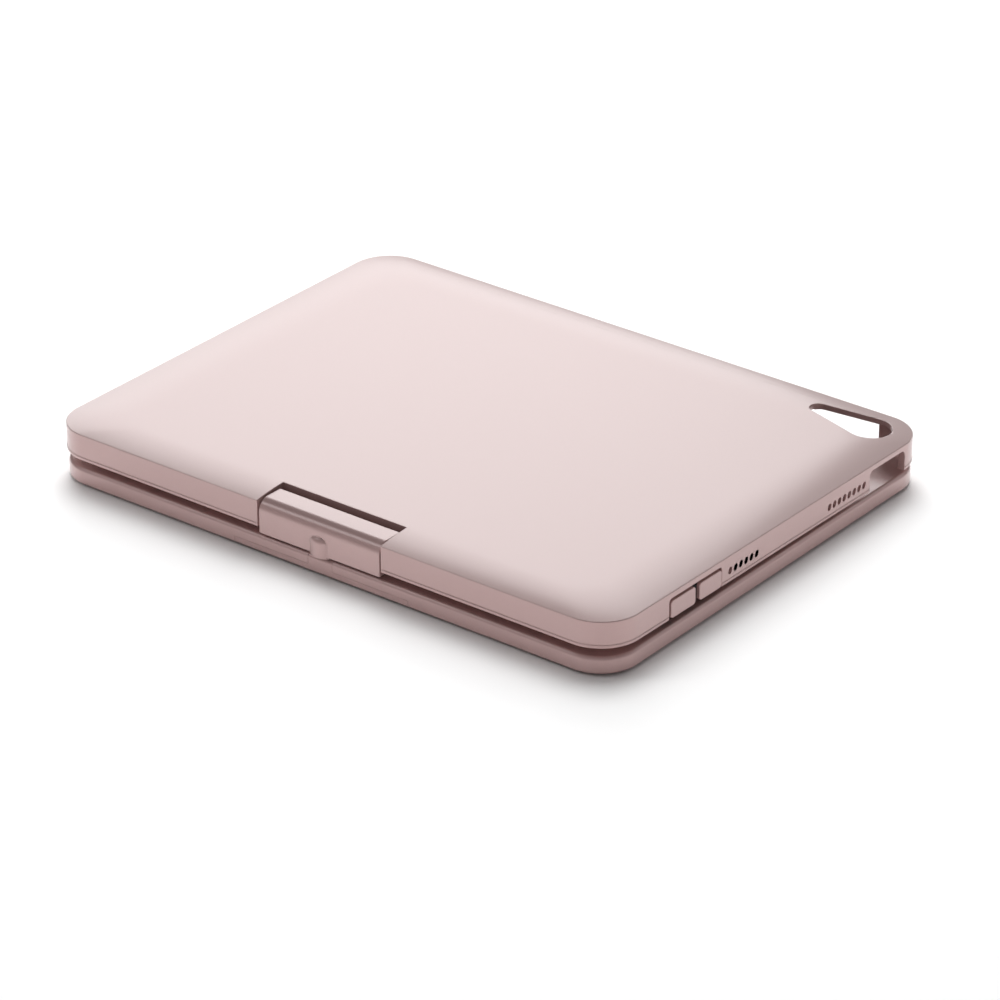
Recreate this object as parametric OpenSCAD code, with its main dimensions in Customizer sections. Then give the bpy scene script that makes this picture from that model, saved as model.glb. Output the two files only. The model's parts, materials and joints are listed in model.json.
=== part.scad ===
// Swivel keyboard case for a small tablet, shut, with the lid on top of the keyboard base.
// X runs along the hinge, +Y points to the hinge edge and +Z up. The origin is under the middle
// of the case, on the surface that its feet stand on. Lengths are in millimetres.

/* [Tablet] */
// Length of the tablet that the lid holds
tablet_l = 195.4; // [175:0.2:240]
// Width of the tablet
tablet_w = 134.8; // [125:0.2:165]
// Thickness of the tablet
tablet_t = 6.3; // [6:0.1:8]
// Gap all round the tablet in its tray
tablet_gap = 0.2; // [0.1:0.05:0.5]

/* [Lid] */
// Thickness of the side walls of the lid
lid_wall = 2.1; // [1.8:0.1:3]
// Depth of the chin between the tablet and the hinge edge
chin_d = 13.5; // [13.3:0.1:18]
// Thickness of the back of the lid at its edge
back_t = 1.1; // [0.9:0.1:2]
// Rise of the back of the lid from its edge to its middle
crown_h = 1.05; // [0.6:0.05:2]
// Corner radius of the lid
corner_r = 12.5; // [9:0.5:20]
// Height of the lip under the edge of the tablet
lip_h = 0.7; // [0.5:0.1:1]
// Reach of the lip over the edge of the tablet
lip_reach = 0.5; // [0.3:0.1:1]
// Angle by which the shut lid leans down towards its free edge, in degrees
lid_tilt = 0.6; // [0:0.1:0.6]

/* [Base] */
// Height of the base without its feet
base_h = 5.15; // [5.05:0.05:8]
// Step in from the side of the lid to the side of the base
base_inset = 0.35; // [0.2:0.05:1]
// Thickness of the side walls of the base
base_wall = 1.2; // [1:0.1:2]
// Thickness of the deck round the keyboard
deck_t = 1.2; // [1:0.1:1.8]
// Thickness of the bottom cover
cover_t = 0.8; // [0.7:0.1:1.2]
// Height of the feet below the bottom cover
foot_h = 0.7; // [0.5:0.1:2]
// Gap between base and lid at the hinge edge
rear_gap = 2.75; // [2.7:0.05:4]

/* [Keyboard] */
// Distance between the centres of two letter keys
key_pitch = 14.2; // [11.5:0.1:14.4]
// Distance between two rows of letter keys
row_pitch = 14; // [11.5:0.1:15]
// Depth of the row of function keys
fn_pitch = 9.5; // [8:0.1:12]
// Space between two keys
key_space = 1.6; // [1.4:0.1:2.5]
// Clearance between a key and its window
key_gap = 0.3; // [0.2:0.05:0.4]
// Corner radius of a key
key_r = 1.2; // [0.5:0.1:2]
// Travel of a key
key_travel = 1; // [0.6:0.1:1]
// Width of the touchpad
pad_w = 76; // [50:1:90]
// Depth of the touchpad
pad_d = 42; // [30:1:46]
// Travel of the touchpad
pad_travel = 0.3; // [0.1:0.1:0.4]

/* [Hinge] */
// Width of the hinge bracket
bracket_w = 43; // [41:0.5:60]
// Depth of the hinge bracket
bracket_d = 9.3; // [9.1:0.1:9.3]
// Wall thickness of the bracket cover
bracket_wall = 1.2; // [1:0.1:1.3]
// Depth of the notch in the lid for the bracket
notch_d = 11.4; // [11.4:0.1:11.8]
// Gap at each end of the bracket
notch_gap = 0.5; // [0.5:0.1:1.5]
// Gap between the base and the bracket
bracket_gap = 1.05; // [1:0.05:1.3]
// Distance of the folding axis from the hinge edge
fold_in = 5.2; // [5.1:0.05:5.3]
// Height of the folding axis above the rim of the lid
fold_up = 4.6; // [4.5:0.05:4.7]
// Radius of the folding pins
pin_r = 1.5; // [1.2:0.05:1.6]
// Distance of the swivel axis from the hinge edge
post_in = 3.6; // [3.6:0.05:3.8]
// Radius of the swivel post
post_r = 1.8; // [1.5:0.05:1.8]
// How far the swivel barrel stands out of the hinge edge
bump_proud = 1.2; // [1:0.05:1.5]
// Radial running clearance of the pins and the post
run_gap = 0.05; // [0.02:0.01:0.08]

/* [Hidden] */
$fn = 64;

rose = [0.80, 0.66, 0.65];
rose_dark = [0.66, 0.52, 0.51];
steel = [0.62, 0.63, 0.65];
black = [0.12, 0.12, 0.13];
eps = 0.01;
cut = 1;

// overall sizes and places
lid_l = tablet_l + 2 * (tablet_gap + lid_wall);
lid_w = chin_d + tablet_w + 2 * tablet_gap + lid_wall;
rear = (lid_w - bump_proud) / 2;
front = rear - lid_w;
base_bottom = foot_h;
base_top = base_bottom + base_h;
lid_z = base_top + rear_gap;
fold_y = rear - fold_in;
fold_z = lid_z + fold_up;
post_y = rear - post_in;

// heights in the lid, above its rim
bay_top = lip_h + tablet_t + 0.1;
edge_h = bay_top + back_t;
liner_t = 0.3;
bay_rear = rear - chin_d;
bay_front = front + lid_wall;
bay_x = lid_l / 2 - lid_wall;

// ---------- shared shapes ----------

// A rectangle from corner to corner with round corners
module round_rect(lo, hi, r) {
    translate([lo[0] + r, lo[1]]) square([hi[0] - lo[0] - 2 * r, hi[1] - lo[1]]);
    translate([lo[0], lo[1] + r]) square([hi[0] - lo[0], hi[1] - lo[1] - 2 * r]);
    for (x = [lo[0] + r, hi[0] - r], y = [lo[1] + r, hi[1] - r])
        translate([x, y]) circle(r);
}

// A slab with round corners between two heights
module slab(lo, hi, r, z0, z1) {
    translate([0, 0, z0]) linear_extrude(z1 - z0) round_rect(lo, hi, r);
}

// The outline of the lid, stepped in by some distance
module lid_outline(inset) {
    round_rect([-lid_l / 2 + inset, front + inset], [lid_l / 2 - inset, rear - inset],
        corner_r - inset);
}

// The outline of the base, stepped in by some distance
module base_outline(inset) {
    lid_outline(base_inset + inset);
}

// A box from corner to corner
module block(lo, hi) {
    translate(lo) cube(hi - lo);
}

// A cylinder along Z between two heights
module disc(x, y, r, z0, z1) {
    translate([x, y, z0]) cylinder(r = r, h = z1 - z0);
}

// A cylinder along X between two places
module bar_x(y, z, r, x0, x1) {
    translate([x0, y, z]) rotate([0, 90, 0]) cylinder(r = r, h = x1 - x0);
}

// Its children on both sides of the middle
module both_sides() {
    children();
    mirror([1, 0, 0]) children();
}

// A pan-head screw along +Z with the face of its head at the origin and a slot in it
module screw(head_r, head_h, shank_r, length) {
    difference() {
        union() {
            cylinder(r = head_r, h = head_h);
            translate([0, 0, head_h - eps]) cylinder(r = shank_r, h = length - head_h + eps);
        }
        block([-head_r * 0.7, -0.15, -cut], [head_r * 0.7, 0.15, head_h * 0.5]);
        block([-0.15, -head_r * 0.7, -cut], [0.15, head_r * 0.7, head_h * 0.5]);
    }
}

// Puts a shape drawn above a flat rim into the place of the shut lid
module in_lid() {
    translate([0, fold_y, fold_z]) rotate([lid_tilt, 0, 0]) translate([0, -fold_y, -fold_up])
        children();
}

// ---------- lid ----------

// places along the short side are distances from the hinge edge
button_from = 26.4;
button_to = 50.4;
button_slit = 0.9;
button_split = 1.8;
button_top = 5.4;
button_t = 1.3;
button_seat = 0.05;
web_t = 0.4;
web_hold = 2;
button_one_to = 38.4;
grille_z = 3.55;
grille_small = [54.2, 6, 2.45];
grille_large = [101.2, 8, 2.4];
hole_r = 0.8;
hole_half = 0.3;
hole_lean = 20;
power_from = 120.9;
power_to = 138.2;
power_top = 6.5;
port_w = 13;
port_h = 5;
stylus_end = 13.7;
stylus_l = tablet_l - 2 * stylus_end;
stylus_h = 6.2;
camera_x = -bay_x + 11.1;
camera_y = bay_front + 9.1;
camera_r = 6.6;
camera_tip_x = -bay_x + 29.3;
camera_tip_y = bay_front + 7.5;
camera_tip_r = 3;
notch_x = bracket_w / 2 + notch_gap;
notch_wall = 1.2;
chin_x = notch_x + notch_wall;
chin_rear = rear - lid_wall;
chin_front = rear - notch_d - 0.7;
chin_cover_t = 0.9;
chin_top = bay_top - 0.1;
chin_bosses = [chin_x + 33, lid_l / 2 - 12];
boss_r = 2;
boss_y = (chin_rear + chin_front) / 2;
leaf_l = 27;
leaf_t = 1.2;
leaf_arm = 1.5;
leaf_holes = [chin_x + 9, chin_x + 22];

// The crowned back: slabs that shrink as they rise, joined by one skin. The lowest lies inside
// the top of the walls, whatever the crown's height, so that walls and back are one moulding
module lid_crown() {
    crown_steps = [[0, 0], [0, 0.12], [3, 0.62], [8, 1]];
    hull()
        for (s = crown_steps)
            translate([0, 0, edge_h - 0.1 + crown_h * s[1]])
                linear_extrude(0.1) lid_outline(s[0], $fn = 40);
}

// The window over the camera: a large and a small circle with straight sides between them
module camera_window() {
    dx = camera_tip_x - camera_x;
    dy = camera_tip_y - camera_y;
    reach = norm([dx, dy]);
    lean = atan2(dy, dx);
    spread = acos((camera_r - camera_tip_r) / reach);
    function on(cx, cy, r, a) = [cx + r * cos(a), cy + r * sin(a)];
    translate([0, 0, bay_top - cut]) linear_extrude(crown_h + back_t + 2 * cut) {
        translate([camera_x, camera_y]) circle(camera_r);
        translate([camera_tip_x, camera_tip_y]) circle(camera_tip_r);
        polygon([
            on(camera_x, camera_y, camera_r, lean + spread),
            on(camera_x, camera_y, camera_r, lean - spread),
            on(camera_tip_x, camera_tip_y, camera_tip_r, lean - spread),
            on(camera_tip_x, camera_tip_y, camera_tip_r, lean + spread)
        ]);
    }
}

// A row of slanted oval holes through the short side
module grille(from_hinge, count, pitch) {
    for (i = [0:count - 1])
        translate([-lid_l / 2 - cut, rear - from_hinge - i * pitch, grille_z])
            rotate([90, 0, 90]) rotate([0, 0, hole_lean]) linear_extrude(lid_wall + 2 * cut) {
                translate([-hole_r, -hole_half]) square([2 * hole_r, 2 * hole_half]);
                for (y = [-hole_half, hole_half]) translate([0, y]) circle(hole_r);
            }
}

// An opening in the short side that is open at the rim and has round upper corners
module side_cut(from_hinge, to_hinge, top, r) {
    translate([-lid_l / 2 - cut, 0, 0]) rotate([90, 0, 90])
        linear_extrude(lid_wall + 2 * cut) {
            translate([rear - to_hinge, -cut]) square([to_hinge - from_hinge, top + cut - r]);
            translate([rear - to_hinge + r, -cut])
                square([to_hinge - from_hinge - 2 * r, top + cut]);
            for (y = [rear - to_hinge + r, rear - from_hinge - r])
                translate([y, top - r]) circle(r);
        }
}

// The hollow of one half of the chin, on the +X side
module chin_hollow(z0, z1) {
    intersection() {
        translate([0, 0, z0]) linear_extrude(z1 - z0) lid_outline(lid_wall);
        block([chin_x, chin_front, z0 - cut], [lid_l / 2, chin_rear, z1 + cut]);
    }
}

module button_web_shape() {
    web_x = -lid_l / 2 + button_t;
    block([web_x, rear - button_to - web_hold, 0.9],
        [web_x + web_t, rear - button_from + web_hold, button_top - 0.7]);
}

module back_shell() {
    color(rose) in_lid() {
        difference() {
            union() {
                linear_extrude(edge_h) lid_outline(0);
                lid_crown();
            }
            // the tray for the tablet, narrower at the lip
            slab([-bay_x, bay_front], [bay_x, bay_rear], corner_r - lid_wall, lip_h, bay_top);
            slab([-bay_x + lip_reach, bay_front + lip_reach],
                [bay_x - lip_reach, bay_rear - lip_reach],
                corner_r - lid_wall - lip_reach, -cut, lip_h + eps);
            slab([-bay_x + 6, bay_front + 6], [bay_x - 6, bay_rear - 6], 10,
                bay_top - eps, bay_top + liner_t);
            // the notch for the bracket
            block([-notch_x, rear - notch_d, -cut], [notch_x, rear + cut, edge_h + 2 * crown_h]);
            both_sides() {
                chin_hollow(-cut, chin_top);
                bar_x(fold_y, fold_up, pin_r, notch_x - cut, chin_x + cut);
                for (x = leaf_holes) disc(x, boss_y, 0.8, chin_top - eps, chin_top + 0.9);
            }
            camera_window();
            grille(grille_small[0], grille_small[1], grille_small[2]);
            grille(grille_large[0], grille_large[1], grille_large[2]);
            side_cut(button_from, button_to, button_top + button_slit, 1.2);
            side_cut(power_from, power_to, power_top, 1.6);
            button_web_shape();
            block([lid_l / 2 - lid_wall - cut, (bay_front + bay_rear - port_w) / 2, lip_h + 0.4],
                [lid_l / 2 + cut, (bay_front + bay_rear + port_w) / 2, lip_h + 0.4 + port_h]);
            block([-stylus_l / 2, front - cut, -cut], [stylus_l / 2, bay_front + cut, stylus_h]);
        }
        // bosses for the screws of the chin covers
        both_sides() for (x = chin_bosses) difference() {
            disc(x, boss_y, boss_r, chin_cover_t, chin_top + 0.1);
            disc(x, boss_y, 0.8, chin_cover_t - cut, chin_top - 1);
        }
    }
}

module chin_covers() {
    color(rose) in_lid() both_sides() difference() {
        chin_hollow(0, chin_cover_t);
        for (x = chin_bosses) {
            disc(x, boss_y, 0.8, -cut, chin_cover_t + cut);
            disc(x, boss_y, 1.5, -cut, 0.5);
        }
    }
}

module chin_screws() {
    color(steel) in_lid() both_sides() for (x = chin_bosses)
        translate([x, boss_y, 0.05]) screw(1.5, 0.45, 0.8, 4.5);
}

module tray_liner() {
    color([0.35, 0.33, 0.34]) in_lid() difference() {
        slab([-bay_x + 6, bay_front + 6], [bay_x - 6, bay_rear - 6], 10,
            bay_top, bay_top + liner_t);
        disc(camera_x, camera_y, camera_r + 3, bay_top - cut, bay_top + cut);
        translate([0, 0, -1]) camera_window();
        disc(camera_tip_x, camera_tip_y, camera_tip_r + 3, bay_top - cut, bay_top + cut);
        block([camera_x, camera_tip_y, bay_top - cut],
            [camera_tip_x, camera_y + camera_r + 1, bay_top + cut]);
    }
}

// One button pad between two distances from the hinge edge
module button_pad(from_hinge, to_hinge) {
    translate([-lid_l / 2, 0, 0]) rotate([90, 0, 90]) linear_extrude(button_t)
        round_rect([rear - to_hinge, 0.1], [rear - from_hinge, button_top], 1);
}

module volume_up_button() {
    color(rose) in_lid() button_pad(button_from + button_slit, button_one_to);
}

module volume_down_button() {
    color(rose) in_lid() button_pad(button_one_to + button_split, button_to - button_seat);
}

module button_web() {
    color(black) in_lid() button_web_shape();
}

// A hinge leaf on the +X side: a plate in the chin, an arm and a pin
module hinge_leaf() {
    in_lid() difference() {
        union() {
            block([chin_x, chin_front + 0.6, chin_top - leaf_t],
                [chin_x + leaf_l, chin_rear - 0.6, chin_top]);
            block([chin_x, fold_y - 2.6, fold_up - 2.6], [chin_x + leaf_arm, fold_y + 2.4, chin_top]);
            bar_x(fold_y, fold_up, pin_r, pin_from, chin_x + eps);
        }
        for (x = leaf_holes) disc(x, boss_y, 0.9, chin_top - leaf_t - cut, chin_top + cut);
    }
}

module left_hinge_leaf() {
    color(steel) mirror([1, 0, 0]) hinge_leaf();
}

module right_hinge_leaf() {
    color(steel) hinge_leaf();
}

module leaf_screws() {
    color(steel) in_lid() both_sides() for (x = leaf_holes)
        translate([x, boss_y, chin_top - leaf_t - 0.6]) screw(1.5, 0.6, 0.8, leaf_t + 1.4);
}

// ---------- hinge bracket ----------

bracket_bottom = base_top + bracket_gap;
bracket_top = lid_z + edge_h + 0.2;
bracket_round = 3.6;
end_wall = 1.3;
core_x = bracket_w / 2 - end_wall;
core_front = rear - bracket_d + bracket_wall;
core_top = bracket_top - bracket_wall;
pin_from = 6.2;
sleeve_from = 5.8;
sleeve_r = pin_r + 0.85;
boss_shell = post_r + 1.5;
clip_r = 2.6;
clip_room_r = 2.9;
thrust_r = 3.1;
boss_top = bracket_bottom + 4.7;
pocket_x = 4.2;
bump_r = post_in + bump_proud;
bump_round = 2;
bump_drop = 0.5;
bump_h = 5.9;
bracket_screw_x = 12;
bracket_screw_z = bracket_bottom + 1.7;

// The side view of the bracket, its rear upper edge rounded, stepped in by some distance
module bracket_profile(step) {
    r = bracket_round - step;
    depth = bracket_d - 2 * step;
    height = bracket_top - bracket_bottom - step;
    translate([rear - bracket_d + step, bracket_bottom]) {
        square([depth, height - r]);
        square([depth - r, height]);
        translate([depth - r, height - r]) circle(r);
    }
}

// A length of the side view, centred on the middle of the case
module bracket_bar(step, length) {
    translate([-length / 2, 0, 0]) rotate([90, 0, 90]) linear_extrude(length)
        bracket_profile(step);
}

// The room inside the bracket for the core with its barrel and its clip
module core_body() {
    bracket_bar(bracket_wall, 2 * core_x);
    disc(0, post_y, boss_shell, bracket_bottom, boss_top);
}

// The barrel round the swivel post, which stands out of the rear with a round top edge
module swivel_barrel() {
    translate([0, post_y, bracket_bottom]) rotate_extrude() {
        translate([0, -bump_drop]) square([bump_r, bump_drop + bump_h - bump_round]);
        translate([0, -bump_drop]) square([bump_r - bump_round, bump_drop + bump_h]);
        translate([bump_r - bump_round, bump_h - bump_round]) circle(bump_round);
    }
}

module bracket_cover() {
    color(rose) difference() {
        union() {
            bracket_bar(0, bracket_w);
            swivel_barrel();
        }
        translate([0, 0, -eps]) core_body();
        core_body();
        // only the rear of the barrel reaches below the bracket, round the thrust washer
        block([-bump_r - 1, post_y - bump_r - 1, bracket_bottom - bump_drop - cut],
            [bump_r + 1, rear - bracket_wall, bracket_bottom]);
        disc(0, post_y, thrust_r + 0.3, bracket_bottom - bump_drop - cut, bracket_bottom);
        disc(0, post_y, clip_room_r, boss_top - eps, post_top + 0.3);
        both_sides() bar_x(fold_y, fold_z, pin_r + 0.3, core_x - cut, bracket_w / 2 + cut);
        for (x = [-bracket_screw_x, bracket_screw_x])
            translate([x, rear - bracket_d - cut, bracket_screw_z]) rotate([-90, 0, 0]) {
                cylinder(r = 0.8, h = bracket_wall + 2 * cut);
                cylinder(r = 1.5, h = 0.6 + cut);
            }
    }
}

module hinge_core() {
    color(steel) difference() {
        core_body();
        disc(0, post_y, post_r + run_gap, bracket_bottom - cut, boss_top + cut);
        block([-pocket_x, core_front - cut, boss_top], [pocket_x, rear, core_top + cut]);
        both_sides() bar_x(fold_y, fold_z, sleeve_r, sleeve_from, core_x + cut);
        for (x = [-bracket_screw_x, bracket_screw_x])
            translate([x, core_front - cut, bracket_screw_z]) rotate([-90, 0, 0])
                cylinder(r = 0.8, h = 3.5 + cut);
    }
}

module fold_sleeves() {
    color([0.72, 0.58, 0.36]) both_sides() difference() {
        bar_x(fold_y, fold_z, sleeve_r, sleeve_from, core_x);
        bar_x(fold_y, fold_z, pin_r + run_gap, sleeve_from - cut, core_x + cut);
    }
}

module bracket_screws() {
    color(steel) for (x = [-bracket_screw_x, bracket_screw_x])
        translate([x, rear - bracket_d + 0.1, bracket_screw_z]) rotate([-90, 0, 0])
            screw(1.5, 0.5, 0.8, 3.8);
}

module top_washer() {
    color(steel) difference() {
        disc(0, post_y, clip_r, boss_top, boss_top + washer_t);
        disc(0, post_y, post_r + run_gap, boss_top - cut, boss_top + cut);
    }
}

// ---------- swivel post, fixed in the base ----------

post_plate_x = 17;
post_plate_d = 11;
post_plate_z = base_top - deck_t - 1.3;
post_plate_t = 1.3;
washer_t = 0.4;
clip_z = boss_top + washer_t + run_gap;
clip_t = 0.5;
post_top = clip_z + clip_t + 0.6;
groove_r = post_r - 0.3;
post_screw_x = 12;
post_screw_y = rear - 8;

module swivel_post() {
    color(steel) difference() {
        union() {
            disc(0, post_y, post_r, post_plate_z + eps, post_top);
            block([-post_plate_x, rear - base_inset - base_wall - post_plate_d, post_plate_z],
                [post_plate_x, rear - base_inset - base_wall, post_plate_z + post_plate_t]);
        }
        difference() {
            disc(0, post_y, post_r + cut, clip_z, clip_z + clip_t);
            disc(0, post_y, groove_r, clip_z - cut, clip_z + clip_t + cut);
        }
        for (x = [-post_screw_x, post_screw_x])
            disc(x, post_screw_y, 0.8, post_plate_z - cut, post_plate_z + post_plate_t + cut);
    }
}

module thrust_washer() {
    color([0.9, 0.9, 0.88]) difference() {
        disc(0, post_y, thrust_r, base_top, bracket_bottom - run_gap);
        disc(0, post_y, post_r, base_top - cut, bracket_bottom);
    }
}

module retaining_clip() {
    color(steel) difference() {
        disc(0, post_y, clip_r, clip_z, clip_z + clip_t);
        disc(0, post_y, groove_r, clip_z - cut, clip_z + clip_t + cut);
        block([-0.9, post_y - 4, clip_z - cut], [0.9, post_y, clip_z + clip_t + cut]);
    }
}

module post_screws() {
    color(steel) for (x = [-post_screw_x, post_screw_x])
        translate([x, post_screw_y, post_plate_z - 0.4])
            screw(1.4, 0.4, 0.8, 0.4 + post_plate_t + deck_t - 0.4);
}

// ---------- base ----------

inner_bottom = base_bottom + cover_t;
deck_under = base_top - deck_t;
key_top = base_top - 0.2;
well_floor = base_top - 1.15;
web_bottom = well_floor - 0.6;
key_under = web_bottom;
row_count = 6;
well_rear = rear - 14;
well_d = fn_pitch + (row_count - 1) * row_pitch + 0.8;
well_front = well_rear - well_d;
units = 13;
well_x = units * key_pitch / 2 + 0.4;
rest_d = well_front - front;
pad_y = front + rest_d / 2;
pad_top = base_top - 0.15;
pad_t = 0.9;
pad_gap = 0.25;
hinge_bar_x = 31;
hinge_bar_top = base_bottom + 2;
hinge_neck_x = 4.3;
hinge_skin = 0.6;
case_bosses = [
    [lid_l / 2 - 12, rear - 8], [hinge_bar_x + 5, rear - 8],
    [lid_l / 2 - 4.4, (well_rear + well_front) / 2],
    [lid_l / 2 - 12, front + 8], [pad_w / 2 + 6, front + 6]
];

// Widths of the keys of each row, in key pitches, from the left
key_units = [
    [for (i = [1:13]) 1],
    [for (i = [1:13]) 1],
    [1.25, for (i = [1:11]) 1, 0.75],
    [1.5, for (i = [1:10]) 1, 1.5],
    [1.75, for (i = [1:10]) 1, 1.25],
    [1, 1, 1, 1, 5, 1, 1, 1, 1]
];
space_index = 4;
space_row = row_count - 1;

function units_before(row, i) = i == 0 ? 0 : units_before(row, i - 1) + key_units[row][i - 1];
function key_left(row, i) = (units_before(row, i) - units / 2) * key_pitch + key_space / 2;
function key_right(row, i) = key_left(row, i) + key_units[row][i] * key_pitch - key_space;
function row_rear(row) = well_rear - 0.4 - (row == 0 ? 0 : fn_pitch + (row - 1) * row_pitch);
function row_depth(row) = row == 0 ? fn_pitch : row_pitch;

// The outline of one key, made larger by some distance
module key_outline(row, i, grow) {
    top = row_rear(row) - key_space / 2;
    bottom = row_rear(row) - row_depth(row) + key_space / 2;
    round_rect([key_left(row, i) - grow, bottom - grow], [key_right(row, i) + grow, top + grow],
        key_r + grow, $fn = 24);
}

// The keys of a row from one index to another: a cap and the plunger under it
module keys(row, indices) {
    color([0.93, 0.91, 0.90]) for (i = indices)
        translate([0, 0, key_under]) linear_extrude(key_top - key_under) key_outline(row, i, 0);
}

module function_row_keys() keys(0, [0:12]);
module number_row_keys() keys(1, [0:12]);
module upper_row_keys() keys(2, [0:12]);
module home_row_keys() keys(3, [0:11]);
module lower_row_keys() keys(4, [0:11]);
module modifier_keys() keys(space_row, [0, 1, 2, 3, 5, 6, 7, 8]);
module space_bar() keys(space_row, [space_index]);

dome_z = key_under - key_travel - 0.5;
membrane_t = 0.5;
membrane_z = dome_z - membrane_t;

module key_domes() {
    color([0.75, 0.75, 0.78]) for (row = [0:row_count - 1], i = [0:len(key_units[row]) - 1])
        translate([(key_left(row, i) + key_right(row, i)) / 2,
            row_rear(row) - row_depth(row) / 2, dome_z])
            cylinder(r1 = 2.6, r2 = 1.6, h = key_under - dome_z, $fn = 24);
}

module key_stack_layer(z0, z1) {
    block([-well_x - 0.4, well_front - 0.4, z0], [well_x + 0.4, well_rear + 0.4, z1]);
}

module key_membrane() {
    color(black) key_stack_layer(membrane_z, dome_z);
}

module key_base_plate() {
    color(steel) key_stack_layer(inner_bottom, membrane_z);
}

// The hollow of the base between the bottom cover and the deck
module base_hollow() {
    translate([0, 0, base_bottom - cut]) linear_extrude(deck_under - base_bottom + cut)
        base_outline(base_wall);
}

// The charging socket sits in the +X wall, and the power switch beside it
socket_y = front + 22;
socket_z = (inner_bottom + deck_under) / 2;
socket_w = 9;
socket_h = min(3.1, deck_under - inner_bottom - 0.04);
socket_d = 7.3;
socket_wall = 0.3;
switch_y = socket_y + 17;
switch_z = socket_z;
switch_travel = 3;
switch_h = 1.9;
knob_l = 3;
knob_gap = 0.1;
knob_end = 1;
switch_l = knob_l + switch_travel + 2 * knob_end;
base_x = lid_l / 2 - base_inset;

// The rounded outline of the socket, along X between two places
module socket_bar(step, x0, x1) {
    r = socket_h / 2 - step;
    translate([x0, 0, 0]) rotate([90, 0, 90]) linear_extrude(x1 - x0) {
        translate([socket_y - socket_w / 2 + step + r, socket_z - r])
            square([socket_w - 2 * step - 2 * r, 2 * r]);
        for (y = [-1, 1])
            translate([socket_y + y * (socket_w / 2 - step - r), socket_z]) circle(r);
    }
}

lens_x = [lid_l / 2 - 30, lid_l / 2 - 24, lid_l / 2 - 18];
lens_y = rear - 7.5;
lens_r = 0.8;

module base_top_case() {
    color(rose) difference() {
        union() {
            difference() {
                translate([0, 0, base_bottom]) linear_extrude(base_h) base_outline(0);
                base_hollow();
            }
            // the web between the keys is lower than the deck
            block([-well_x - 1, well_front - 1, web_bottom], [well_x + 1, well_rear + 1, base_top]);
            // bosses for the screws of the bottom cover
            both_sides() for (p = case_bosses)
                disc(p[0], p[1], boss_r, inner_bottom, deck_under + eps);
        }
        slab([-well_x, well_front], [well_x, well_rear], key_r + 0.6, well_floor, base_top + cut);
        translate([0, 0, web_bottom - cut]) linear_extrude(well_floor - web_bottom + 2 * cut)
            for (row = [0:row_count - 1], i = [0:len(key_units[row]) - 1])
                key_outline(row, i, key_gap);
        slab([-pad_w / 2 - pad_gap, pad_y - pad_d / 2 - pad_gap],
            [pad_w / 2 + pad_gap, pad_y + pad_d / 2 + pad_gap], 3, deck_under - cut, base_top + cut);
        both_sides() for (p = case_bosses)
            disc(p[0], p[1], 0.8, inner_bottom - cut, deck_under - 0.2);
        // the room for the hinge cover, the post and its screws
        hinge_cover_shape();
        disc(0, post_y, post_r, deck_under - cut, base_top + cut);
        for (x = [-post_screw_x, post_screw_x])
            disc(x, post_screw_y, 0.8, deck_under - cut, base_top - 0.4);
        for (x = lens_x) disc(x, lens_y, lens_r, deck_under - cut, base_top + cut);
        // the openings in the +X wall
        socket_bar(0, base_x - base_wall - cut, base_x + cut);
        block([base_x - base_wall - cut, switch_y - switch_l / 2, switch_z - switch_h / 2],
            [base_x + cut, switch_y + switch_l / 2, switch_z + switch_h / 2]);
    }
}

// An inverted T in the rear wall: a low bar and a neck up to the post
module hinge_cover_shape() {
    outer = rear - base_inset;
    block([-hinge_bar_x, outer - hinge_skin, base_bottom], [hinge_bar_x, outer, hinge_bar_top]);
    block([-hinge_neck_x, outer - base_wall, base_bottom], [hinge_neck_x, outer, base_top]);
}

module hinge_cover() {
    color(rose) difference() {
        hinge_cover_shape();
        disc(0, post_y, post_r, base_bottom - cut, base_top + cut);
    }
}

foot_places = [[lid_l / 2 - 22, front + 13], [lid_l / 2 - 22, rear - 15]];
foot_half = 15;
foot_r = 3.5;
foot_seat = 0.2;

// The outline of one foot: a bar with round ends
module foot_outline(x, y) {
    round_rect([x - foot_half, y - foot_r], [x + foot_half, y + foot_r], foot_r - eps);
}

cover_step = base_wall;
stand_r = 1;
stand_y = 8;
module base_bottom_cover() {
    color(rose_dark) {
        difference() {
            translate([0, 0, base_bottom]) linear_extrude(cover_t) base_outline(cover_step);
            both_sides() {
                for (p = foot_places)
                    translate([0, 0, base_bottom - cut]) linear_extrude(cut + foot_seat)
                        foot_outline(p[0], p[1]);
                for (p = case_bosses) {
                    disc(p[0], p[1], 0.9, base_bottom - cut, inner_bottom + cut);
                    disc(p[0], p[1], 1.5, base_bottom - cut, base_bottom + 0.45);
                }
            }
            hinge_cover_shape();
        }
        // the posts that carry the touchpad's board and the controller board
        both_sides() for (y = [-stand_y, stand_y])
            disc(pad_w / 2 - 7.5, pad_y + y, stand_r, inner_bottom - 0.1, pad_board_bottom);
        for (p = board_stands)
            disc(board_x + p[0], board_y + p[1], stand_r, inner_bottom - 0.1, board_bottom);
    }
}

module case_screws() {
    color(steel) both_sides() for (p = case_bosses)
        translate([p[0], p[1], base_bottom + 0.05])
            screw(1.5, 0.4, 0.8, deck_under - 0.4 - base_bottom);
}

module rubber_feet() {
    color(black) both_sides() for (p = foot_places)
        linear_extrude(base_bottom + foot_seat) foot_outline(p[0], p[1]);
}

bumper_x = [lid_l / 2 - 15, 28];
bumper_y = front + 4.2;
bumper_gap = 0.27;
rim_over_bumper = fold_z + (bumper_y - fold_y) * sin(lid_tilt) - fold_up * cos(lid_tilt);
bumper_h = rim_over_bumper - base_top - bumper_gap;

module bumper_pads() {
    color([0.3, 0.28, 0.28]) both_sides() for (x = bumper_x)
        disc(x, bumper_y, 2, base_top, base_top + bumper_h);
}

// ---------- touchpad and electronics ----------

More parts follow.
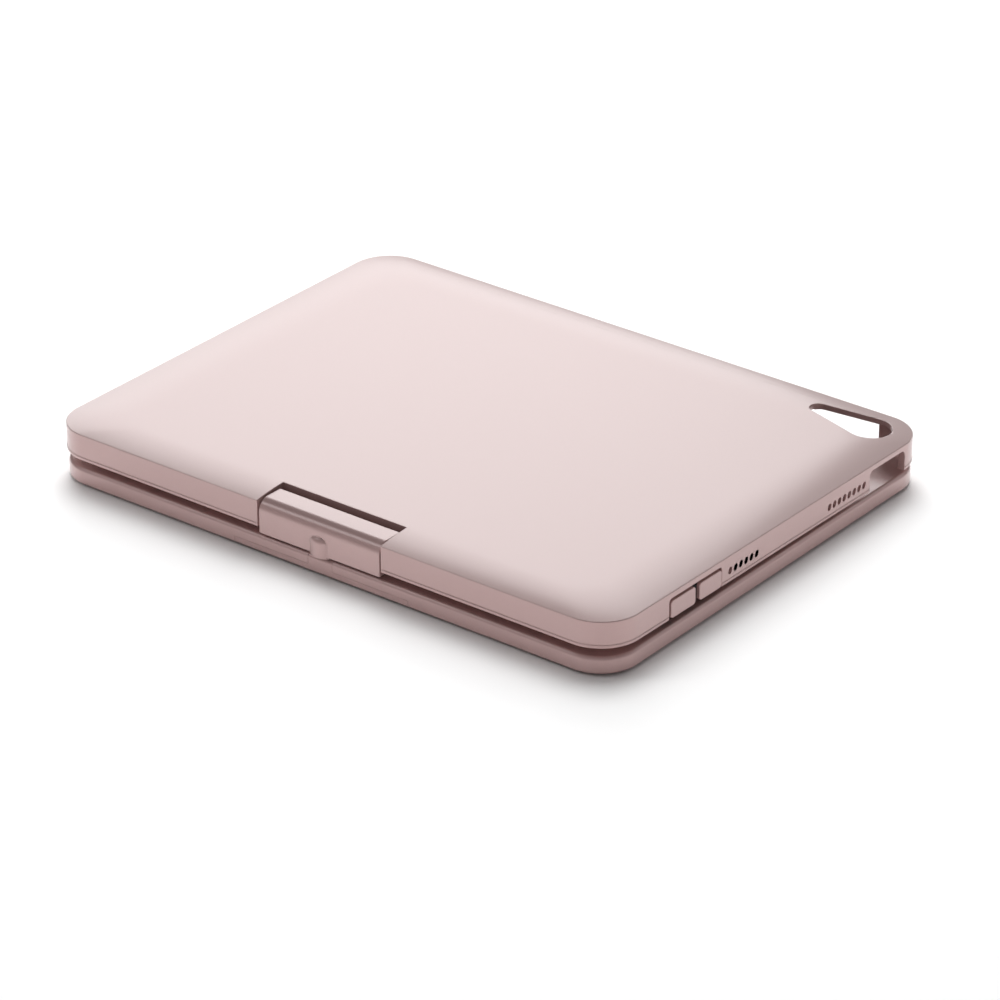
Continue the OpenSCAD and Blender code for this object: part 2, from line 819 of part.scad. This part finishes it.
module touchpad() {
    color([0.86, 0.80, 0.79])
        slab([-pad_w / 2, pad_y - pad_d / 2], [pad_w / 2, pad_y + pad_d / 2], 2.75,
            pad_top - pad_t, pad_top);
}

board_t = 0.8;
pad_switch_h = 1.2;
pad_switch_top = pad_top - pad_t - pad_travel;
pad_board_bottom = pad_switch_top - pad_switch_h - board_t;

module touchpad_board() {
    color([0.10, 0.30, 0.18])
        block([-pad_w / 2 + 6, pad_y - pad_d / 2 + 4, pad_board_bottom],
            [pad_w / 2 - 6, pad_y + pad_d / 2 - 4, pad_switch_top - pad_switch_h]);
}

module touchpad_switch() {
    color(steel) {
        block([-2.5, pad_y - pad_d / 2 + 6, pad_switch_top - pad_switch_h],
            [2.5, pad_y - pad_d / 2 + 11, pad_switch_top - 0.4]);
        disc(0, pad_y - pad_d / 2 + 8.5, 1, pad_switch_top - 0.4 - eps, pad_switch_top);
    }
}

battery_l = 34;
battery_w = 34;
battery_x = -base_x + base_wall + 5;
battery_y = pad_y + 1 - battery_w / 2;
module battery_cell() {
    color([0.75, 0.76, 0.78])
        slab([battery_x, battery_y], [battery_x + battery_l, battery_y + battery_w], 1.5,
            inner_bottom, deck_under - 0.25);
}

board_l = 22;
board_w = 40;
board_x = base_x - base_wall - 0.2;
board_y = (socket_y + switch_y) / 2;
board_top = socket_z - socket_h / 2 + 0.9;
board_bottom = board_top - board_t;
board_stands = [[1.5 - board_l, board_w / 2 - 1.5], [1.5 - board_l, 1.5 - board_w / 2], [-10, 0]];

module controller_board() {
    color([0.10, 0.30, 0.18]) difference() {
        union() {
            block([board_x - board_l, board_y - board_w / 2, board_bottom],
                [board_x, board_y + board_w / 2, board_top]);
            for (p = [[-15, -12, 6], [-14, 8, 5], [-16, 15, 3]])
                block([board_x + p[0], board_y + p[1], board_top - eps],
                    [board_x + p[0] + p[2], board_y + p[1] + p[2], board_top + 0.9]);
        }
        block([base_x - socket_d - 0.1, socket_y - socket_w / 2 - 0.1, 0],
            [base_x, socket_y + socket_w / 2 + 0.1, base_top]);
        block([board_x - 4.4, switch_y - switch_l / 2 - 1.1, 0],
            [base_x, switch_y + switch_l / 2 + 1.1, base_top]);
        // clear of the boss in the front corner
        for (p = case_bosses) disc(p[0], p[1], boss_r + 0.3, 0, base_top);
    }
}

// Two flat leads from the cell to the board, along the front wall
module battery_leads() {
    lead_front = battery_y + 2.5;
    color([0.55, 0.12, 0.12]) for (i = [0, 1])
        block([battery_x + battery_l, lead_front + 1.6 * i, board_bottom],
            [board_x - board_l, lead_front + 1.6 * i + 1, board_top - 0.3]);
}

module charging_socket() {
    color(steel) {
        difference() {
            socket_bar(0, base_x - socket_d, base_x - 0.2);
            socket_bar(socket_wall, base_x - socket_d + 0.6, base_x + cut);
        }
        block([base_x - socket_d + 0.5, socket_y - 3.3, socket_z - 0.35],
            [base_x - 1, socket_y + 3.3, socket_z + 0.35]);
    }
}

module switch_body() {
    color(black) difference() {
        block([board_x - 4.2, switch_y - switch_l / 2 - 0.9, switch_z - switch_h / 2 - 0.4],
            [base_x - base_wall, switch_y + switch_l / 2 + 0.9, switch_z + switch_h / 2 + 0.4]);
        block([board_x - 2.4, switch_y - switch_l / 2, switch_z - switch_h / 2],
            [base_x, switch_y + switch_l / 2, switch_z + switch_h / 2]);
    }
}

// The knob of the power switch, in its off position
module power_switch() {
    knob_from = switch_y - switch_l / 2 + knob_end;
    color(rose_dark)
        block([board_x - 2.3, knob_from, switch_z - switch_h / 2 + knob_gap],
            [base_x + 0.25, knob_from + knob_l, switch_z + switch_h / 2 - knob_gap]);
}

module indicator_lenses() {
    color([0.95, 0.95, 0.95, 0.6]) for (x = lens_x)
        disc(x, lens_y, lens_r, deck_under - 0.4, base_top);
}

magnet_x = [lid_l / 2 - 30, lid_l / 2 - 46];
module closing_magnets() {
    color(steel) both_sides() for (x = magnet_x)
        block([x - 5, front + base_inset + base_wall + 0.3, inner_bottom],
            [x + 5, front + base_inset + base_wall + 4.3, deck_under]);
}

back_shell();
chin_covers();
tray_liner();
volume_up_button();
volume_down_button();
button_web();
left_hinge_leaf();
right_hinge_leaf();
leaf_screws();
chin_screws();
bracket_cover();
hinge_core();
fold_sleeves();
bracket_screws();
top_washer();
swivel_post();
thrust_washer();
retaining_clip();
post_screws();
hinge_cover();
base_top_case();
base_bottom_cover();
case_screws();
rubber_feet();
bumper_pads();
function_row_keys();
number_row_keys();
upper_row_keys();
home_row_keys();
lower_row_keys();
modifier_keys();
space_bar();
key_domes();
key_membrane();
key_base_plate();
touchpad();
touchpad_board();
touchpad_switch();
battery_cell();
controller_board();
battery_leads();
charging_socket();
switch_body();
power_switch();
indicator_lenses();
closing_magnets();
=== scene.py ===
"""Looks of a swivel keyboard case for a small tablet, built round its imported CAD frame.

Lengths are in metres, in the frame's own axes: X along the hinge, +Y to the hinge edge, +Z up.
"""
import json
import math

import bmesh
import bpy
from mathutils import Matrix, Vector


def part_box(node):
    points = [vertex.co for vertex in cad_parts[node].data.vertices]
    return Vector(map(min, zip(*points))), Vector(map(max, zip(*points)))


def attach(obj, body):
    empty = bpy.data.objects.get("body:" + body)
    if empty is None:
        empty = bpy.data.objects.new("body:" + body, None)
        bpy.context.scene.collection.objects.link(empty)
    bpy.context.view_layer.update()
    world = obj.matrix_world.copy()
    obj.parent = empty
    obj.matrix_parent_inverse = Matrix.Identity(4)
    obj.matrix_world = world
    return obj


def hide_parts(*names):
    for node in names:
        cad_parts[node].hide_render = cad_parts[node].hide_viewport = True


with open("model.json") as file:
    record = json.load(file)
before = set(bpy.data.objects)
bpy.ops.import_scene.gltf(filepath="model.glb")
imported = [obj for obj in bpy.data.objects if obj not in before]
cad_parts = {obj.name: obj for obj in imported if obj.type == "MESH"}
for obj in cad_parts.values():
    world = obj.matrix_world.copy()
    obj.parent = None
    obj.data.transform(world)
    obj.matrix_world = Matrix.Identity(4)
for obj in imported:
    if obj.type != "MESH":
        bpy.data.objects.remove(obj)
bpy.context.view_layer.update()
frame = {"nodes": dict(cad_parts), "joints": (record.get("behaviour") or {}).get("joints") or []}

MM = 0.001

# ---------- camera, as the picture was taken ----------
VIEW_AZIMUTH = 218.296
VIEW_ELEVATION = 27.845
VIEW_ROLL = -0.5
VIEW_DISTANCE = 1.4635
VIEW_TARGET = Vector((-0.00444, -0.00004, -0.00606))
FOCAL = 184.674
SENSOR = 36.0

# ---------- sizes of the case that the looks need ----------
LID_TILT = math.radians(0.6)
FOLD_IN = 5.2 * MM
FOLD_UP = 4.6 * MM
LID_CORNER = 12.5 * MM
LID_EDGE = 8.2 * MM
LID_CROWN = 1.04 * MM
LID_WALL = 2.1 * MM
GRILLES = ((52, 68.6), (99, 119.6))  # millimetres from the hinge edge
CROWN_SIDE = 17 * MM
CROWN_REAR = 12.5 * MM
CROWN_FRONT = 15 * MM
BASE_STEP = 0.35 * MM
BASE_ROUND = 1.2 * MM
BASE_UNDER = 0.7 * MM
SKIN = 0.004 * MM

nodes = frame["nodes"]
joints = {j["name"]: j for j in frame["joints"]}
fold_axis = Vector(joints["hinge_fold"]["pos_m"])
rear = fold_axis.y + FOLD_IN
half_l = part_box("back_shell")[1].x
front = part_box("base_top_case")[0].y - BASE_STEP
base_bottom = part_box("base_top_case")[0].z
base_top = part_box("base_top_case")[1].z
LID_PLACE = (Matrix.Translation(fold_axis) @ Matrix.Rotation(LID_TILT, 4, "X")
             @ Matrix.Translation(Vector((0, -fold_axis.y, -FOLD_UP))))


# ---------- mesh tools ----------

def new_object(name, mesh):
    obj = bpy.data.objects.new(name, mesh)
    bpy.context.scene.collection.objects.link(obj)
    return obj


def ring(lo, hi, radius, z, steps=16):
    """A rectangle with round corners at one height, anticlockwise from its first corner."""
    points = []
    corners = ((hi[0] - radius, hi[1] - radius, 0), (lo[0] + radius, hi[1] - radius, 90),
               (lo[0] + radius, lo[1] + radius, 180), (hi[0] - radius, lo[1] + radius, 270))
    for cx, cy, start in corners:
        for i in range(steps + 1):
            a = math.radians(start + 90 * i / steps)
            points.append(Vector((cx + radius * math.cos(a), cy + radius * math.sin(a), z)))
    return points


def loft(bm, rings):
    """Joins rings of equally many points into one closed form, flat at both ends."""
    made = [[bm.verts.new(p) for p in r] for r in rings]
    count = len(made[0])
    for a, b in zip(made, made[1:]):
        for i in range(count):
            j = (i + 1) % count
            bm.faces.new((a[i], a[j], b[j], b[i]))
    bm.faces.new(list(reversed(made[0])))
    bm.faces.new(made[-1])


def mesh_from(bm, name):
    mesh = bpy.data.meshes.new(name)
    bm.to_mesh(mesh)
    bm.free()
    return mesh


def freeze(obj):
    """Applies the object's modifiers to its mesh."""
    graph = bpy.context.evaluated_depsgraph_get()
    mesh = bpy.data.meshes.new_from_object(obj.evaluated_get(graph))
    obj.modifiers.clear()
    obj.data = mesh


def boolean(obj, other, operation):
    """Cuts obj with another object, which is used up."""
    mod = obj.modifiers.new("boolean", "BOOLEAN")
    mod.solver = "EXACT"
    mod.operation = operation
    mod.object = other
    freeze(obj)
    bpy.data.objects.remove(other)


def tidy_mesh(obj, angle=0.3):
    """Merges what touches and joins flat neighbours into single faces."""
    bm = bmesh.new()
    bm.from_mesh(obj.data)
    bmesh.ops.remove_doubles(bm, verts=bm.verts, dist=0.002 * MM)
    bmesh.ops.dissolve_degenerate(bm, edges=bm.edges, dist=0.002 * MM)
    bmesh.ops.dissolve_limit(bm, angle_limit=math.radians(angle), verts=bm.verts,
                             edges=bm.edges, delimit={"NORMAL"})
    bm.to_mesh(obj.data)
    bm.free()


def soften(obj, width, segments=2, angle=35, weighted=False):
    """Rounds the hard edges a little and shades the rest smooth."""
    for polygon in obj.data.polygons:
        polygon.use_smooth = True
    mod = obj.modifiers.new("edges", "BEVEL")
    mod.width = width
    mod.segments = segments
    mod.limit_method = "WEIGHT" if weighted else "ANGLE"
    mod.angle_limit = math.radians(angle)
    mod.use_clamp_overlap = False
    mod.miter_outer = "MITER_ARC"
    normals = obj.modifiers.new("normals", "WEIGHTED_NORMAL")
    normals.keep_sharp = True
    normals.weight = 80


def soften_cad(name, width, segments=2, angle=35):
    """The same for a CAD node, whose triangles are joined into flat faces first."""
    obj = nodes[name]
    for polygon in obj.data.polygons:
        polygon.use_smooth = True
    weld = obj.modifiers.new("weld", "WELD")
    weld.merge_threshold = 0.002 * MM
    flat = obj.modifiers.new("flat", "DECIMATE")
    flat.decimate_type = "DISSOLVE"
    flat.angle_limit = math.radians(0.5)
    soften(obj, width, segments, angle)
    return obj


def copy_of(name):
    """A free copy of a CAD node's mesh, to build a visible piece from."""
    obj = new_object("copy_" + name, nodes[name].data.copy())
    return obj


def islands(name):
    """The boxes of a CAD node's separate solids, from left to right."""
    bm = bmesh.new()
    bm.from_mesh(nodes[name].data)
    bmesh.ops.remove_doubles(bm, verts=bm.verts, dist=0.002 * MM)
    seen, boxes = set(), []
    for v in bm.verts:
        if v in seen:
            continue
        stack, lo, hi = [v], v.co.copy(), v.co.copy()
        seen.add(v)
        while stack:
            u = stack.pop()
            lo = Vector(map(min, lo, u.co))
            hi = Vector(map(max, hi, u.co))
            for e in u.link_edges:
                w = e.other_vert(u)
                if w not in seen:
                    seen.add(w)
                    stack.append(w)
        boxes.append((lo, hi))
    bm.free()
    return sorted(boxes, key=lambda b: b[0].x)


# ---------- materials ----------

class Shader:
    """A Principled material with a few helpers for its node tree."""

    def __init__(self, name, color, roughness, metallic=0.0):
        self.material = bpy.data.materials.new(name)
        self.material.use_nodes = True
        self.tree = self.material.node_tree
        self.bsdf = self.tree.nodes["Principled BSDF"]
        self.set("Base Color", (*color, 1))
        self.set("Roughness", roughness)
        self.set("Metallic", metallic)
        self.place = self.node("ShaderNodeTexCoord").outputs["Object"]

    def set(self, socket, value):
        self.bsdf.inputs[socket].default_value = value

    def node(self, kind, **inputs):
        made = self.tree.nodes.new(kind)
        for key, value in inputs.items():
            made.inputs[key.replace("_", " ")].default_value = value
        return made

    def link(self, out, into):
        self.tree.links.new(out, into)

    def noise(self, size, detail=2.0, stretch=(1, 1, 1)):
        """Noise whose features are about size metres across."""
        mapping = self.node("ShaderNodeMapping", Scale=stretch)
        self.link(self.place, mapping.inputs["Vector"])
        made = self.node("ShaderNodeTexNoise", Scale=1 / size, Detail=detail)
        self.link(mapping.outputs["Vector"], made.inputs["Vector"])
        return made.outputs["Fac"]

    def spread(self, fac, low, high, middle=0.5, width=0.25):
        """Maps noise round its middle value to a range of numbers."""
        made = self.node("ShaderNodeMapRange")
        made.inputs["From Min"].default_value = middle - width
        made.inputs["From Max"].default_value = middle + width
        made.inputs["To Min"].default_value = low
        made.inputs["To Max"].default_value = high
        self.link(fac, made.inputs["Value"])
        return made.outputs["Result"]

    def vary_color(self, fac, dark, light):
        mix = self.node("ShaderNodeMix")
        mix.data_type = "RGBA"
        for socket, value in zip([s for s in mix.inputs if s.type == "RGBA"], (dark, light)):
            socket.default_value = (*value, 1)
        self.link(fac, mix.inputs["Factor"])
        out = [s for s in mix.outputs if s.type == "RGBA"][0]
        self.link(out, self.bsdf.inputs["Base Color"])

    def bump(self, fac, height, strength=1.0):
        """Raises the surface by height metres where fac is 1."""
        made = self.node("ShaderNodeBump", Strength=strength, Distance=height)
        self.link(fac, made.inputs["Height"])
        self.link(made.outputs["Normal"], self.bsdf.inputs["Normal"])
        return made


def scaled(color, k):
    return tuple(min(1.0, c * k) for c in color)


def metallic_paint(name, color):
    """Satin metallic paint: flakes under a thin clear coat, with a faint orange peel."""
    s = Shader(name, color, 0.4, 0.2)
    s.set("Specular IOR Level", 0.5)
    s.set("Coat Weight", 1.0)
    s.set("Coat Roughness", 0.18)
    flakes = s.noise(0.12 * MM, detail=1.0)
    s.vary_color(s.spread(flakes, 0, 1), scaled(color, 0.95), scaled(color, 1.05))
    s.link(s.spread(flakes, 0.37, 0.44), s.bsdf.inputs["Roughness"])
    s.bump(s.noise(0.5 * MM, detail=2.0), 0.0012 * MM)
    return s.material


def moulded(name, color, roughness, grain=0.25, depth=0.004):
    """Moulded plastic with a fine etched grain."""
    s = Shader(name, color, roughness)
    patches = s.noise(9 * MM, detail=3.0)
    s.vary_color(s.spread(patches, 0, 1), scaled(color, 0.96), scaled(color, 1.04))
    fine = s.noise(grain * MM, detail=2.0)
    s.link(s.spread(fine, roughness - 0.05, roughness + 0.06), s.bsdf.inputs["Roughness"])
    s.bump(fine, depth * MM)
    return s.material


def metal(name, color, roughness, stretch=(1, 1, 1), size=0.15):
    """Bare metal with fine marks left by its making."""
    s = Shader(name, color, roughness, 1.0)
    marks = s.noise(size * MM, detail=3.0, stretch=stretch)
    s.vary_color(s.spread(marks, 0, 1), scaled(color, 0.9), scaled(color, 1.06))
    s.link(s.spread(marks, roughness - 0.07, roughness + 0.09), s.bsdf.inputs["Roughness"])
    s.bump(marks, 0.003 * MM)
    return s.material


def felt(name, color):
    """Short felt: matt fibres with a soft sheen."""
    s = Shader(name, color, 0.95)
    s.set("Sheen Weight", 0.5)
    fibres = s.noise(0.2 * MM, detail=4.0, stretch=(1, 0.35, 1))
    s.vary_color(s.spread(fibres, 0, 1), scaled(color, 0.7), scaled(color, 1.25))
    s.bump(fibres, 0.06 * MM)
    return s.material


ROSE = (0.62, 0.40, 0.385)
PAINT = metallic_paint("rose_paint", ROSE)
# Darker rose: the power switch's own colour, and on the base bottom cover painted shade for the
# dark bottom edge of the base.
DARK_ROSE_AND_SHADE = moulded("dark_rose_plastic", (0.36, 0.22, 0.21), 0.45)
KEY = moulded("key_plastic", (0.83, 0.79, 0.77), 0.5, grain=0.18)
PAD = moulded("touchpad_plastic", (0.70, 0.58, 0.56), 0.42, grain=0.12, depth=0.002)
RUBBER = moulded("black_rubber", (0.03, 0.03, 0.032), 0.8, grain=0.3, depth=0.01)
GREY_RUBBER = moulded("grey_silicone", (0.30, 0.26, 0.255), 0.7, grain=0.3, depth=0.006)
BLACK = moulded("black_plastic", (0.02, 0.02, 0.022), 0.55)
WHITE = moulded("white_plastic", (0.8, 0.8, 0.78), 0.3)
BOARD = moulded("circuit_board", (0.02, 0.12, 0.05), 0.35, grain=0.6)
LEAD = moulded("lead_red", (0.35, 0.03, 0.03), 0.4)
LENS = moulded("lens_clear", (0.85, 0.86, 0.86), 0.25)
STEEL = metal("hinge_steel", (0.55, 0.56, 0.58), 0.32, stretch=(0.1, 1, 1))
SCREW = metal("screw_steel", (0.40, 0.40, 0.42), 0.28, size=0.1)
ZINC = metal("zinc", (0.50, 0.50, 0.52), 0.45, size=0.3)
BRONZE = metal("bronze", (0.55, 0.38, 0.17), 0.35)
NICKEL = metal("magnet_nickel", (0.62, 0.61, 0.58), 0.22)
FOIL = metal("cell_foil", (0.66, 0.67, 0.70), 0.4, size=1.5)
FELT = felt("liner_felt", (0.11, 0.10, 0.105))


def paint(obj, material):
    obj.data.materials.clear()
    obj.data.materials.append(material)


def piece(obj, name, body, material, slot, *replaced):
    """Names a visible piece, gives it its finish and sets it on its body."""
    obj.name = name
    obj.data.name = name
    paint(obj, material)
    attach(obj, body)
    if replaced:
        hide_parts(*replaced)
    return obj


# ---------- lid ----------

def lid_form():
    """The outside of the lid: an upright wall, a crease and a crown that dies into a flat."""
    lo, hi = (-half_l, front), (half_l, rear)
    rims = [(0.35, 0.0), (0.10, 0.09), (0.0, 0.35), (0.0, 1.0), (0.06, 1.04), (0.06, 1.10),
            (0.0, 1.14), (0.0, LID_EDGE / MM - 0.16),
            (0.05, LID_EDGE / MM - 0.05), (0.16, LID_EDGE / MM + 0.01)]
    rings = []
    for step, z in rims:
        step = step * MM + SKIN
        rings.append(ring((lo[0] + step, lo[1] + step), (hi[0] - step, hi[1] - step),
                          LID_CORNER - step, z * MM, 24))
    start = rims[-1][0] * MM
    count = 16
    for i in range(1, count + 1):
        t = i / count
        rise = 1 - (1 - t) ** 2
        sx, sr, sf = (start + t * w for w in (CROWN_SIDE, CROWN_REAR, CROWN_FRONT))
        radius = LID_CORNER - start - t * 2 * MM
        rings.append(ring((lo[0] + sx, lo[1] + sf), (hi[0] - sx, hi[1] - sr), radius,
                          LID_EDGE + 0.01 * MM + rise * LID_CROWN, 24))
    bm = bmesh.new()
    loft(bm, rings)
    bm.transform(LID_PLACE)
    return new_object("lid_form", mesh_from(bm, "lid_form"))


def mark_edges(obj, angle, crisp):
    """Marks the sharp edges for rounding, except inside the boxes that stay crisp."""
    bm = bmesh.new()
    bm.from_mesh(obj.data)
    layer = bm.edges.layers.float.new("bevel_weight_edge")
    for edge in bm.edges:
        middle = (edge.verts[0].co + edge.verts[1].co) / 2
        inside = any(all(lo[k] < middle[k] < hi[k] for k in range(3)) for lo, hi in crisp)
        sharp = len(edge.link_faces) == 2 and edge.calc_face_angle(0) > math.radians(angle)
        edge[layer] = 1.0 if sharp and not inside else 0.0
        edge.smooth = not (sharp and inside)
    bm.to_mesh(obj.data)
    bm.free()


def make_lid():
    shell = copy_of("back_shell")
    boolean(shell, lid_form(), "INTERSECT")
    tidy_mesh(shell)
    holes = [((-half_l - MM, rear - hi * MM, 0), (-half_l + LID_WALL + MM, rear - lo * MM, 1))
             for lo, hi in GRILLES]
    mark_edges(shell, 35, holes)
    soften(shell, 0.14 * MM, weighted=True)
    return piece(shell, "lid_shell", "lid", PAINT, "rose_paint", "back_shell")


# ---------- base ----------

def base_form(grow=0.0):
    """The outside of the base: round over the top edge and turned under at the bottom."""
    lo = (-half_l + BASE_STEP - grow, front + BASE_STEP - grow)
    hi = (half_l - BASE_STEP + grow, rear - BASE_STEP + grow)
    corner = LID_CORNER - BASE_STEP + grow
    rims = []
    for i in range(5):
        a = math.radians(90 * i / 4)
        rims.append((BASE_UNDER * (1 - math.sin(a)), base_bottom + BASE_UNDER * (1 - math.cos(a))))
    for i in range(9):
        a = math.radians(90 * i / 8)
        rims.append((BASE_ROUND * (1 - math.cos(a)), base_top - BASE_ROUND * (1 - math.sin(a))))
    bm = bmesh.new()
    loft(bm, [ring((lo[0] + s + SKIN, lo[1] + s + SKIN), (hi[0] - s - SKIN, hi[1] - s - SKIN),
                   corner - s, z, 24) for s, z in rims])
    return new_object("base_form", mesh_from(bm, "base_form"))


def make_base():
    case = copy_of("base_top_case")
    boolean(case, base_form(), "INTERSECT")
    tidy_mesh(case)
    soften(case, 0.14 * MM, angle=40)
    piece(case, "base_case", "base", PAINT, "rose_paint", "base_top_case")
    cover = copy_of("hinge_cover")
    boolean(cover, base_form(), "INTERSECT")
    tidy_mesh(cover)
    soften(cover, 0.2 * MM, angle=40)
    piece(cover, "hinge_cover_skin", "base", PAINT, "rose_paint", "hinge_cover")


# ---------- keys ----------

KEY_ROWS = {
    "function_row_keys": "function_row", "number_row_keys": "number_row",
    "upper_row_keys": "upper_row", "home_row_keys": "home_row",
    "lower_row_keys": "lower_row", "modifier_keys": "modifier_row", "space_bar": "space",
}
KEY_CORNER = 1.2 * MM
KEY_ROUND = 0.35 * MM
KEY_DISH = 0.12 * MM


def keycap(bm, lo, hi):
    """A cap with a round top edge and a shallow dish."""
    rings = [ring(lo, hi, KEY_CORNER, lo.z, 6)]
    for i in range(5):
        a = math.radians(90 * i / 4)
        s = KEY_ROUND * (1 - math.cos(a))
        z = hi.z - KEY_ROUND * (1 - math.sin(a))
        rings.append(ring((lo.x + s, lo.y + s), (hi.x - s, hi.y - s), KEY_CORNER - s * 0.8, z, 6))
    reach = min(hi.x - lo.x, hi.y - lo.y) / 2 - KEY_ROUND - 0.3 * MM
    for i in range(1, 6):
        t = i / 5
        s = KEY_ROUND + t * reach
        z = hi.z - KEY_DISH * t * t * (3 - 2 * t)
        corner = KEY_CORNER - KEY_ROUND * 0.8 - t * (KEY_CORNER - KEY_ROUND - 0.1 * MM)
        rings.append(ring((lo.x + s, lo.y + s), (hi.x - s, hi.y - s), max(corner, 0.05 * MM), z, 6))
    loft(bm, rings)


def make_keys():
    for node, body in KEY_ROWS.items():
        bm = bmesh.new()
        boxes = islands(node)
        for lo, hi in boxes:
            keycap(bm, lo, hi)
        obj = new_object(node + "_caps", mesh_from(bm, node))
        for polygon in obj.data.polygons:
            polygon.use_smooth = True
        normals = obj.modifiers.new("normals", "WEIGHTED_NORMAL")
        normals.keep_sharp = True
        piece(obj, node + "_caps", body, KEY, "key_plastic", node)


# ---------- finishes of the CAD pieces that stay ----------

FINISHES = {
    "chin_covers": (PAINT, 0.12), "volume_up_button": (PAINT, 0.25),
    "volume_down_button": (PAINT, 0.25), "bracket_cover": (PAINT, 0.3),
    # The bottom cover's darker rose is painted shade along the base's bottom edge; on the power
    # switch it is the part's own colour.
    "base_bottom_cover": (DARK_ROSE_AND_SHADE, 0.1), "power_switch": (DARK_ROSE_AND_SHADE, 0.12),
    "touchpad": (PAD, 0.15), "left_hinge_leaf": (STEEL, 0.1), "right_hinge_leaf": (STEEL, 0.1),
    "swivel_post": (STEEL, 0.08), "top_washer": (STEEL, 0.04), "retaining_clip": (STEEL, 0.04),
    "charging_socket": (STEEL, 0.04), "touchpad_switch": (STEEL, 0.05),
    "key_base_plate": (STEEL, 0.05), "leaf_screws": (SCREW, 0.05), "chin_screws": (SCREW, 0.05),
    "bracket_screws": (SCREW, 0.05), "post_screws": (SCREW, 0.05), "case_screws": (SCREW, 0.05),
    "hinge_core": (ZINC, 0.1), "fold_sleeves": (BRONZE, 0.05), "thrust_washer": (WHITE, 0.05),
    "rubber_feet": (RUBBER, 0.2), "bumper_pads": (GREY_RUBBER, 0.3), "button_web": (RUBBER, 0.03),
    "key_domes": (GREY_RUBBER, 0.05), "tray_liner": (FELT, 0.05), "key_membrane": (BLACK, 0.05),
    "switch_body": (BLACK, 0.05), "touchpad_board": (BOARD, 0.05),
    "controller_board": (BOARD, 0.05), "battery_cell": (FOIL, 0.3), "battery_leads": (LEAD, 0.1),
    "indicator_lenses": (LENS, 0.05), "closing_magnets": (NICKEL, 0.15),
}


def finish_cad():
    for name, (material, width) in FINISHES.items():
        paint(soften_cad(name, width * MM), material)


# ---------- stage ----------

def make_floor():
    bm = bmesh.new()
    bmesh.ops.create_grid(bm, x_segments=1, y_segments=1, size=6)
    floor = new_object("floor", mesh_from(bm, "floor"))
    s = Shader("floor", (0.95, 0.95, 0.95), 0.8)
    s.set("Specular IOR Level", 0.1)
    paint(floor, s.material)
    return floor


WORLD_STRENGTH = 0.2
LIGHT_TARGET = Vector((0, 0, 0.01))
# name, place, width, height, watts
LIGHTS = (
    ("back_softbox", (0.70, -0.76, 0.545), 0.62, 0.6, 2.6),
    ("wide_softbox", (0.8, -1.45, 0.9), 1.6, 1.0, 3.2),
    ("hinge_strip", (0.72, 0.61, 0.9), 0.35, 0.35, 1.0),
    ("end_strip", (-0.6, -0.9, 0.7), 0.35, 0.35, 0.6),
)
FLOOR_LIGHT = ("floor_softbox", (0.92, -1.16, 3.17), 2.5, 2.5, 112)


def area_light(name, place, width, height, power):
    data = bpy.data.lights.new(name, "AREA")
    data.energy = power
    data.shape = "RECTANGLE"
    data.size = width
    data.size_y = height
    lamp = bpy.data.objects.new(name, data)
    bpy.context.scene.collection.objects.link(lamp)
    lamp.location = place
    lamp.rotation_euler = (LIGHT_TARGET - Vector(place)).to_track_quat("-Z", "Y").to_euler()
    return lamp


def make_light(floor):
    world = bpy.data.worlds.new("studio")
    bpy.context.scene.world = world
    world.use_nodes = True
    background = world.node_tree.nodes["Background"]
    background.inputs["Color"].default_value = (1, 1, 1, 1)
    background.inputs["Strength"].default_value = WORLD_STRENGTH
    for light in LIGHTS:
        area_light(*light)
    key = area_light(*FLOOR_LIGHT)
    lit = bpy.data.collections.new("floor_only")
    lit.objects.link(floor)
    key.light_linking.receiver_collection = lit


def make_camera():
    a, e, roll = (math.radians(v) for v in (VIEW_AZIMUTH, VIEW_ELEVATION, VIEW_ROLL))
    back = Vector((math.sin(a) * math.cos(e), -math.cos(a) * math.cos(e), math.sin(e)))
    data = bpy.data.cameras.new("camera")
    data.lens = FOCAL
    data.sensor_width = SENSOR
    data.clip_start = 0.05
    data.clip_end = 50
    camera = bpy.data.objects.new("camera", data)
    bpy.context.scene.collection.objects.link(camera)
    camera.rotation_mode = "QUATERNION"
    camera.rotation_quaternion = ((-back).to_track_quat("-Z", "Y")
                                  @ Matrix.Rotation(roll, 4, "Z").to_quaternion())
    camera.location = VIEW_TARGET + back * VIEW_DISTANCE
    bpy.context.scene.camera = camera


make_camera()
make_light(make_floor())
make_lid()
make_base()
make_keys()
finish_cad()
bpy.context.scene.view_settings.view_transform = "Standard"
